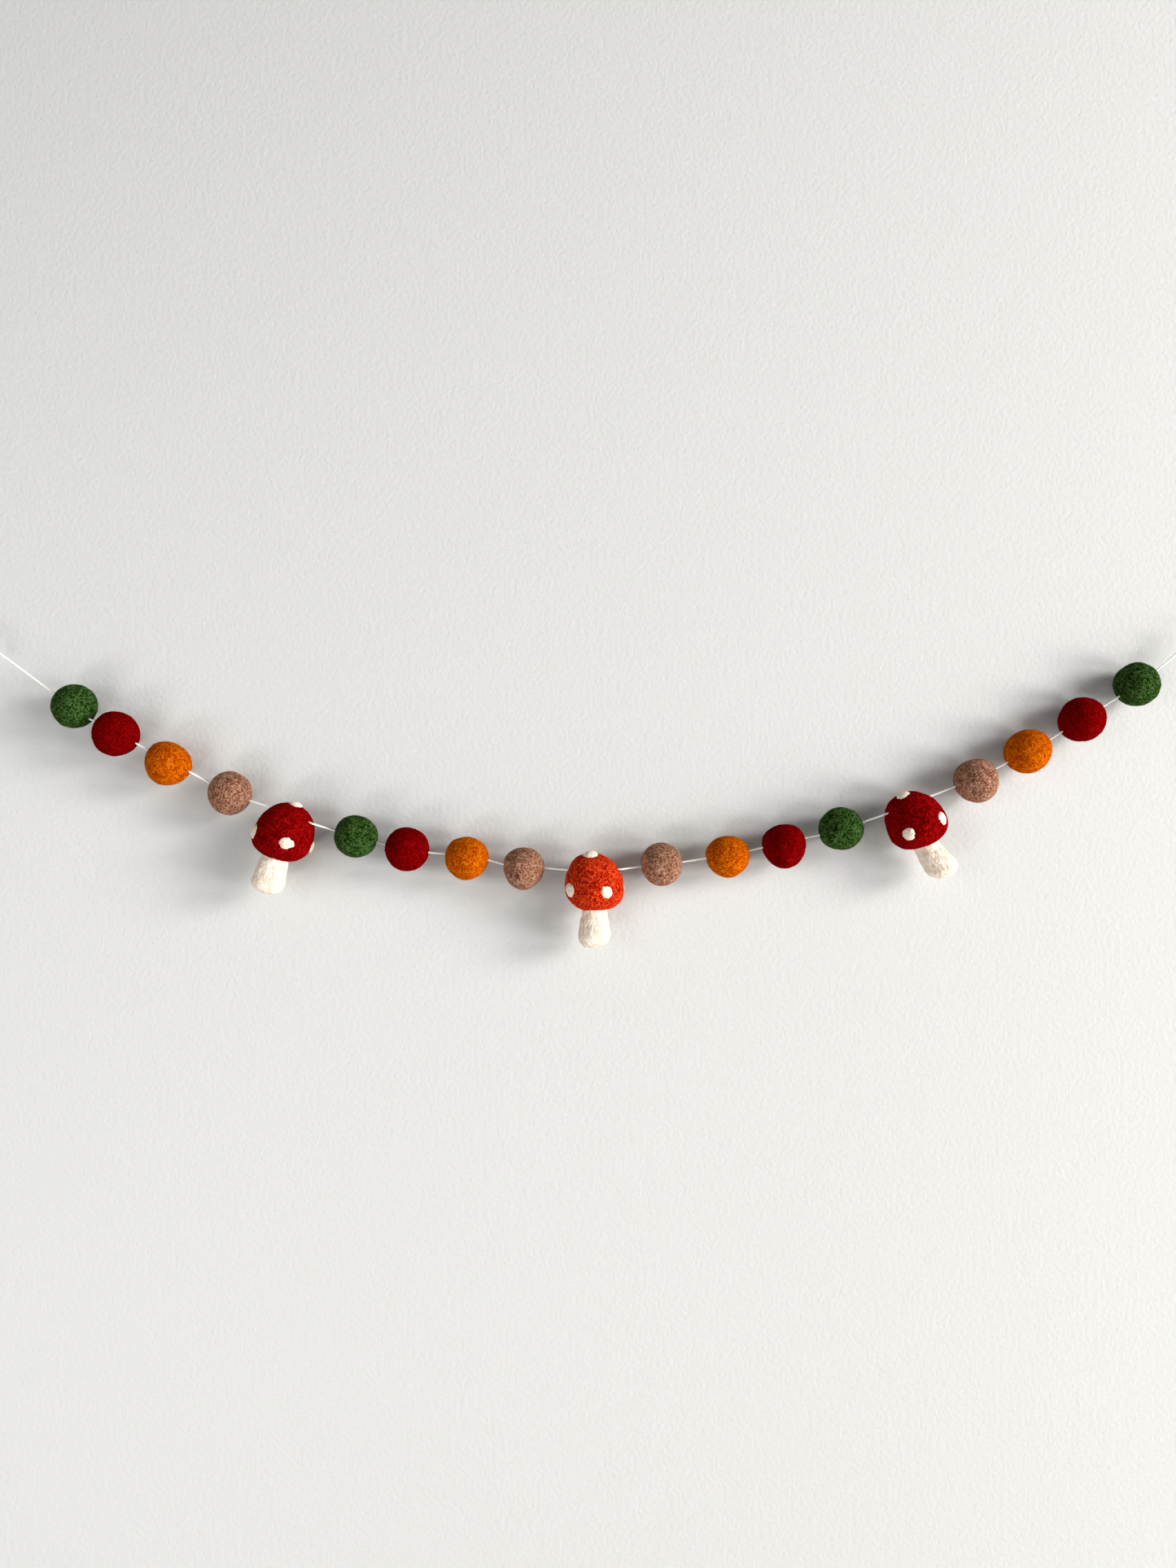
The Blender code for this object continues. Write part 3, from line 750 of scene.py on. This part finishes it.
def cap_line(row):
    """(radius, height) from the cap's top to the middle of its underside, the widest place at height 0."""
    down = np.linspace(0, math.pi / 2, OUTLINE_STEPS)[:, None]
    radius, dome, belly = row.across / 2 * MM, row.dome * MM, row.belly * MM
    power, belly_power = 2 / row.square, 2 / BELLY_SQUARE
    top = np.hstack([radius * np.sin(down) ** power, dome * np.cos(down) ** power])
    low = np.hstack([radius * np.cos(down) ** belly_power, -belly * np.sin(down) ** belly_power])
    return np.vstack([top, low[1:]])


def stem_line(row):
    """(radius, height) from a place inside the cap, down the stem, and to the middle of its foot."""
    neck, foot = row.neck / 2 * MM, row.foot / 2 * MM
    share = 1 - (2 * neck / (row.across * MM)) ** BELLY_SQUARE
    top = -row.belly * MM * share ** (1 / BELLY_SQUARE)
    base = -(row.belly + row.long) * MM
    widest = base + STEM_FOOT_HEIGHT * MM
    down = np.linspace(0, 1, OUTLINE_STEPS)[:, None]
    swell = down * down * (3 - 2 * down)
    side = np.hstack([neck + (foot - neck) * swell, top + (widest - top) * down])
    angle = down * math.pi / 2
    power = 2 / FOOT_SQUARE
    round_foot = STEM_FOOT_HEIGHT * MM * np.sin(angle) ** power
    end = np.hstack([foot * np.maximum(np.cos(angle), 0) ** power, widest - round_foot])
    inside = top + STEM_SUNK * MM
    return np.vstack([[[0, inside], [neck * STEM_TOP_SHARE, inside]], side, end[1:]])


def arc_lengths(line):
    """How far along the line each of its points lies."""
    return np.concatenate([[0], np.cumsum(np.linalg.norm(np.diff(line, axis=0), axis=1))])


def turned(line, directions):
    """Points of the turned line. A direction's angle from straight up picks the place along the line."""
    arcs = arc_lengths(line)
    arc = np.arccos(np.clip(directions[:, 2], -1, 1)) / math.pi * arcs[-1]
    out, height = np.interp(arc, arcs, line[:, 0]), np.interp(arc, arcs, line[:, 1])
    flat = unit(directions[:, :2])
    return np.column_stack([flat * out[:, None], height])


def skewed(row, points):
    """The points of a cap moved sideways with its dome, whose top doesn't lie on the axis."""
    moved = points.copy()
    moved[:, 0] += row.skew * MM * (np.maximum(points[:, 2], 0) / (row.dome * MM)) ** SKEW_POWER
    return moved


def cap(row, seed, grid, materials):
    """The bell of a toadstool, with its loose fibres."""
    directions, faces = grid
    points = turned(cap_line(row), directions)
    normals = normals_of(points, faces)
    points = skewed(row, points + normals * lumps(points, CAP_LUMPS, seed)[:, None])
    place = axis_place(row)
    inverse = place.inverted()
    way = inverse.to_3x3() @ string_way(row)
    points = dimpled(points, normals, inverse @ passing(row), way.normalized())
    name = "cap_" + row.name
    add_wool(name, points, faces, place, materials[row.felt], [name])
    loose = fleece([(points, faces)], seed, (SHORT_MATTED, SHORT_STRAY), CAP_CURVE)
    add_fibres(name, loose, place, materials["fibre_" + row.felt])


def stem(row, seed, grid, materials):
    """A stem, whose top goes up into the cap: (points, faces) for its fibres."""
    directions, faces = grid
    points = turned(stem_line(row), directions)
    normals = normals_of(points, faces)
    uneven = lumps(points, STEM_LUMPS, seed) + lumps(points, STEM_RIBS, seed, STEM_RIB_STRETCH)
    points = points + normals * uneven[:, None]
    below = np.maximum(0, -row.belly * MM - points[:, 2])
    points[:, 0] += row.shift * MM - below * math.tan(math.radians(row.lean))
    name = "stem_" + row.name
    add_wool(name, points, faces, axis_place(row), materials["stem"], [name])
    return points, faces


def nearest_on(line, places):
    """The turned line's points and normals nearest to places beside it."""
    out = np.hypot(places[:, 0], places[:, 1])
    flat = np.column_stack([out, places[:, 2]])
    start, run = line[:-1], np.diff(line, axis=0)
    share = ((flat[:, None] - start) * run).sum(2) / (run**2).sum(1)
    near = start + run * np.clip(share, 0, 1)[..., None]
    best = np.argmin(((flat[:, None] - near) ** 2).sum(2), axis=1)
    picked = near[np.arange(len(flat)), best]
    way = unit(run[best])
    around = places[:, :2] / np.maximum(out, TINY)[:, None]
    points = np.column_stack([around * picked[:, :1], picked[:, 1]])
    return points, np.column_stack([around * -way[:, 1:], way[:, 0]])


def spot_edge(spot, angle):
    """How far a spot reaches at an angle from straight down: uneven, with a nick and a tip."""
    reach = 1 + spot.square * np.cos(4 * angle)
    for waves, depth, start in SPOT_WAVES:
        reach += depth * np.sin(waves * angle + getattr(spot, start))
    marks = ((spot.notch, SPOT_NOTCH, SPOT_NOTCH_WIDTH), (spot.point, SPOT_POINT, SPOT_POINT_WIDTH))
    for where, amount, width in marks:
        off = np.angle(np.exp(1j * (angle - math.radians(where))))
        reach += amount * np.exp(-((off / width) ** 2))
    return reach


def spot_faces():
    """The triangles of a spot: its crown, its rings, and under them one point, the last."""
    faces = []
    last = 1 + (SPOT_RINGS - 1) * SPOT_SIDES
    under = last + SPOT_SIDES
    for i in range(SPOT_SIDES):
        j = (i + 1) % SPOT_SIDES
        faces.append((0, 1 + i, 1 + j))
        for ring in range(SPOT_RINGS - 1):
            a, b = 1 + ring * SPOT_SIDES, 1 + (ring + 1) * SPOT_SIDES
            faces += [(a + i, b + i, b + j), (a + i, b + j, a + j)]
        faces.append((last + j, last + i, under))
    return np.array(faces)


def spot(name, spot_row, row, seed, materials):
    """A dab of white wool felted on to the cap: (points, faces) for its fibres."""
    line = cap_line(row)
    arcs = arc_lengths(line)
    arc = spot_row.from_top * MM
    out, height = np.interp(arc, arcs, line[:, 0]), np.interp(arc, arcs, line[:, 1])
    turn = math.radians(spot_row.around)
    ahead = np.array((math.sin(turn), -math.cos(turn), 0))
    middle = ahead * out + np.array((0, 0, height))
    _, normal = nearest_on(line, middle[None])
    side = np.cross((0, 0, 1), ahead)
    down = np.cross(side, normal[0])
    angle = np.arange(SPOT_SIDES) * FULL_TURN / SPOT_SIDES
    share = np.concatenate([[0], np.repeat(np.arange(1, SPOT_RINGS + 1) / SPOT_RINGS, SPOT_SIDES)])
    angles = np.concatenate([[0], np.tile(angle, SPOT_RINGS)])
    reach = share * spot_edge(spot_row, angles)
    flat = (
        middle
        + side * (spot_row.wide / 2 * MM * reach * np.sin(angles))[:, None]
        + down * (spot_row.tall / 2 * MM * reach * np.cos(angles))[:, None]
    )
    base, normals = nearest_on(line, flat)
    crown = SPOT_RIM + (spot_row.thick + SPOT_PROUD - SPOT_RIM) * (1 - share**2)
    rise = (crown + SPOT_SUNK) * (1 - share**SPOT_EDGE_FALL) ** SPOT_EDGE_ROUND - SPOT_SUNK
    uneven = lumps(base, SPOT_LUMPS, seed) * (1 - share**SPOT_LUMP_FALL)
    uneven += lumps(base, CAP_LUMPS, row_seed(row))
    points = base + normals * (rise * MM + uneven)[:, None]
    under = base[:1] - normals[:1] * 2 * SPOT_SUNK * MM
    points = skewed(row, np.vstack([points, under]))
    faces = spot_faces()
    add_wool(name, points, faces, axis_place(row), materials["white"], [name])
    return points, faces


def row_seed(row):
    """The number that makes this toadstool's surface its own."""
    return TOADSTOOL_SEED + TOADSTOOLS.index(row)


def toadstool(row, grid, materials):
    """A cap, a stem, the cap's spots, and the white fibres of the stem and the spots."""
    seed = row_seed(row)
    cap(row, seed, grid, materials)
    whites = [stem(row, seed + STEM_SEED, grid, materials)]
    mine = [each for each in SPOTS if each.cap == row.name]
    for number, spot_row in enumerate(mine, 1):
        name = f"spot_{row.name}_{number}"
        whites.append(spot(name, spot_row, row, seed * SPOT_SEED + number, materials))
    loose = fleece(whites, seed, (SHORT_STRAY,), STEM_CURVE)
    add_fibres("white_" + row.name, loose, axis_place(row), materials["fibre_white"])


def even_line(line, step):
    """The line's points set a step apart, and how far along the line each one lies."""
    line = np.array([list(point) for point in line])
    arcs = arc_lengths(line)
    even = np.linspace(0, arcs[-1], int(arcs[-1] / step) + 1)
    return np.column_stack([np.interp(even, arcs, line[:, axis]) for axis in range(3)]), even


def twisted(line, radius, sides, step):
    """Points and faces of a string of twisted plies along the line."""
    middles, arcs = even_line(line, step)
    runs = unit(np.gradient(middles, axis=0))
    across = np.cross(runs[0], (0, 1, 0))
    rings = []
    for middle, run, arc in zip(middles, runs, arcs):
        across = unit(across - run * (across @ run))
        other = np.cross(run, across)
        angle = np.arange(sides) * FULL_TURN / sides
        phase = PLIES / 2 * (angle - FULL_TURN * arc / TWIST_PITCH)
        reach = radius * (1 - GROOVE_DEPTH * (1 - np.abs(np.cos(phase))) ** GROOVE_SHAPE)
        ring = np.outer(reach * np.cos(angle), across) + np.outer(reach * np.sin(angle), other)
        rings.append(middle + ring)
    count = len(rings)
    points = np.vstack([*rings, middles[0], middles[-1]])
    i, j = np.meshgrid(np.arange(count - 1), np.arange(sides), indexing="ij")
    k = (j + 1) % sides
    walls = np.stack([i * sides + j, i * sides + k, (i + 1) * sides + k, (i + 1) * sides + j], axis=-1)
    around = np.arange(sides)
    after = (around + 1) % sides
    first, last = count * sides, count * sides + 1
    ends = [(first, b, a) for a, b in zip(around, after)]
    ends += [(last, (count - 1) * sides + a, (count - 1) * sides + b) for a, b in zip(around, after)]
    return points, walls.reshape(-1, 4).tolist() + [tuple(map(int, face)) for face in ends]


def add_twisted(name, line, radius, sides, step, materials, nodes):
    """A piece of twisted string along the line."""
    points, faces = twisted(line, radius, sides, step)
    mesh = mesh_from(name, points, faces, materials["string"])
    return add_piece(name, mesh, Matrix(), nodes)


def knot(name, pin, run, materials):
    """A coil of string round the two strands that meet under a loop, with its ends tucked in."""
    place = frame_along(pin + run * KNOT_PLACE, run, Vector((0, 1, 0)).cross(run))
    line = []
    steps = int(KNOT_TURNS * KNOT_TURN_STEPS)
    for i in range(steps + 1):
        share = i / steps
        angle = share * KNOT_TURNS * FULL_TURN
        near_end = max(0, KNOT_TUCK_SHARE - share, share - (1 - KNOT_TUCK_SHARE)) / KNOT_TUCK_SHARE
        tuck = 1 - KNOT_TUCK * near_end**2
        along = (share - 0.5) * KNOT_LENGTH
        aside = Vector((along, KNOT_FLAT * tuck * math.cos(angle), KNOT_WIDE * tuck * math.sin(angle)))
        line.append(place @ aside)
    return add_twisted(
        "coil_" + name, line, KNOT_STRING_RADIUS, KNOT_STRING_SIDES, KNOT_RING_STEP, materials, [name]
    )


def string(materials):
    """The whole string, from one cut end to the other."""
    line = string_line()
    piece = add_twisted(
        "twisted_string", line, STRING_RADIUS, STRING_SIDES, STRING_RING_STEP, materials, ["string"]
    )


def make_camera():
    """The camera, level and straight ahead, as the photograph was taken."""
    data = bpy.data.cameras.new("camera")
    data.sensor_width = SENSOR
    data.lens = SENSOR * FOCAL_PIXELS / PHOTO_HEIGHT
    data.clip_start, data.clip_end = NEAR_CLIP, FAR_CLIP
    eye = bpy.data.objects.new("camera", data)
    bpy.context.collection.objects.link(eye)
    eye.location = EYE
    eye.rotation_euler = (math.pi / 2, 0, 0)
    bpy.context.scene.camera = eye


def make_lights():
    """Soft daylight from windows far to the right, and a little light from the room."""
    for row in LIGHTS:
        data = bpy.data.lights.new(row.name, "AREA")
        data.shape = "RECTANGLE"
        data.size, data.size_y = row.wide, row.tall
        data.spread = math.radians(row.spread)
        data.energy = row.power
        data.color = row.colour
        lamp = bpy.data.objects.new(row.name, data)
        bpy.context.collection.objects.link(lamp)
        lamp.visible_camera = False
        lamp.location = (row.x, row.y, row.z)
        aim = Vector((row.aim_x, row.aim_y, row.aim_z)) - lamp.location
        lamp.rotation_euler = aim.to_track_quat("-Z", "Y").to_euler()
    world = bpy.data.worlds.new("room")
    world.use_nodes = True
    sky = world.node_tree.nodes["Background"]
    sky.inputs["Color"].default_value = (*WORLD_COLOUR, 1)
    sky.inputs["Strength"].default_value = WORLD_STRENGTH
    bpy.context.scene.world = world
    bpy.context.scene.view_settings.view_transform = "Standard"


def stage_sheet(name, corners, material):
    """A flat sheet of the stage, which isn't part of the garland."""
    mesh = bpy.data.meshes.new(name)
    mesh.from_pydata(corners, [], [(0, 1, 2, 3)])
    mesh.materials.append(material)
    sheet = bpy.data.objects.new(name, mesh)
    bpy.context.collection.objects.link(sheet)


def make_stage():
    """A pale backdrop close behind, clear from its back, and a pale floor below."""
    made, tree, shader = plain("pale_backdrop", BACKDROP_COLOUR)
    where = node(tree, "TexCoord").outputs["Object"]
    grain = noise_field(tree, where, BACKDROP_GRAIN_SCALE, 2.0, NOISE_ROUGHNESS).outputs["Fac"]
    add_relief(tree, shader, grain, BACKDROP_RELIEF, BACKDROP_RELIEF_DEPTH)
    back = node(tree, "NewGeometry").outputs["Backfacing"]
    show_mix(tree, back, shader, node(tree, "BsdfTransparent"))
    backdrop = [
        (BACKDROP_LEFT, BACKDROP_Y, FLOOR_Z),
        (BACKDROP_RIGHT, BACKDROP_Y, FLOOR_Z),
        (BACKDROP_RIGHT, BACKDROP_Y, BACKDROP_TOP),
        (BACKDROP_LEFT, BACKDROP_Y, BACKDROP_TOP),
    ]
    stage_sheet("backdrop", backdrop, made)
    floor = [
        (FLOOR_LEFT, FLOOR_NEAR, FLOOR_Z),
        (FLOOR_RIGHT, FLOOR_NEAR, FLOOR_Z),
        (FLOOR_RIGHT, FLOOR_FAR, FLOOR_Z),
        (FLOOR_LEFT, FLOOR_FAR, FLOOR_Z),
    ]
    stage_sheet("floor", floor, plain("pale_floor", FLOOR_COLOUR)[0])


def main():
    """The camera, the lights, the stage and the garland."""
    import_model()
    make_camera()
    make_lights()
    make_stage()
    materials = make_materials()
    coils = [
        knot("knot_left", LEFT_PIN, LEFT_RUN, materials),
        knot("knot_right", RIGHT_PIN, RIGHT_RUN, materials),
    ]
    string(materials)
    ball_grid, toadstool_grid = sphere_grid(BALL_FINENESS), sphere_grid(TOADSTOOL_FINENESS)
    for number, row in enumerate(BALLS, 1):
        ball(row, number, ball_grid, materials)
    for row in TOADSTOOLS:
        toadstool(row, toadstool_grid, materials)


main()
